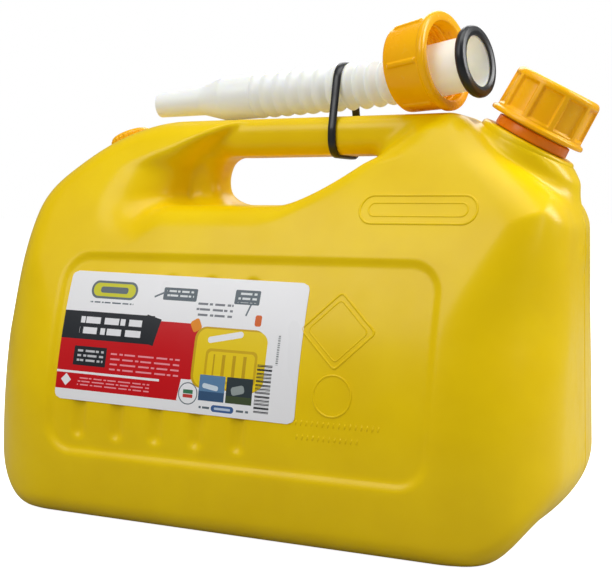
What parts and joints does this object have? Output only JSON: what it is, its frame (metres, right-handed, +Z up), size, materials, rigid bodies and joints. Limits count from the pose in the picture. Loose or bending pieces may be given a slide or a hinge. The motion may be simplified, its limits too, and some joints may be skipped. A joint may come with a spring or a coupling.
{
  "type": "fuel can with stowed spout",
  "caption": "Blow-moulded fuel can with a moulded grip, tilted screw-cap neck, breather cap and a flexible pouring spout held along the grip by an elastic band",
  "frame": {"origin": "middle of the underside of the can, on the floor", "axes": "+X along the can towards the neck, +Y to the back face, -Y to the face with the label, +Z up"},
  "size_m": [0.3642, 0.192, 0.2927],
  "materials": {
    "can_yellow": "satin yellow high-density polyethylene, lightly pebbled",
    "cap_orange": "smooth orange polypropylene",
    "ring_red": "smooth red-orange polypropylene",
    "spout_milky": "milky translucent low-density polyethylene",
    "rubber_black": "smooth black rubber",
    "seal_foam": "closed-cell foam disc",
    "label": "printed vinyl sticker"
  },
  "bodies": {
    "can": {"can_body": "can_yellow", "front_label": "label", "spout_base": "spout_milky", "spout_gasket": "rubber_black", "retaining_band": "rubber_black"},
    "cap_carrier": {"cap_seal": "seal_foam"},
    "cap": {"cap": "cap_orange"},
    "neck_ring": {"neck_ring": "ring_red"},
    "vent_carrier": {"vent_seal": "seal_foam"},
    "vent_cap": {"vent_cap": "cap_orange"},
    "nozzle": {"spout_nozzle": "spout_milky", "spout_bellows": "spout_milky"},
    "nut": {"spout_nut": "cap_orange"}
  },
  "joints": [
    {"name": "cap_lift", "type": "slide", "parent": "can", "child": "cap_carrier", "axis": [0.4848, 0, 0.8746], "range_m": [0, 0.006]},
    {"name": "cap_turn", "type": "hinge", "parent": "cap_carrier", "child": "cap", "pos_m": [0.1473, 0, 0.2198], "axis": [0.4848, 0, 0.8746], "range_deg": [0, 540]},
    {"name": "ring_turn", "type": "hinge", "parent": "can", "child": "neck_ring", "pos_m": [0.1473, 0, 0.2198], "axis": [0.4848, 0, 0.8746], "continuous": true},
    {"name": "vent_lift", "type": "slide", "parent": "can", "child": "vent_carrier", "axis": [-0.3746, 0, 0.9272], "range_m": [0, 0.0025]},
    {"name": "vent_turn", "type": "hinge", "parent": "vent_carrier", "child": "vent_cap", "pos_m": [-0.113, 0, 0.2242], "axis": [-0.3746, 0, 0.9272], "range_deg": [0, 360]},
    {"name": "spout_flex", "type": "hinge", "parent": "can", "child": "nozzle", "pos_m": [0.005, 0, 0.25227], "axis": [0, 1, 0], "range_deg": [0, 60], "deforming": ["spout_bellows"]},
    {"name": "nut_turn", "type": "hinge", "parent": "can", "child": "nut", "pos_m": [0.0753, -0.0041, 0.2621], "axis": [0.9678, -0.2288, 0.1045], "continuous": true}
  ],
  "couplings": [
    {"joint": "cap_lift", "follows": "cap_turn", "m_per_rad": 0.00063662},
    {"joint": "vent_lift", "follows": "vent_turn", "m_per_rad": 0.00039789}
  ]
}
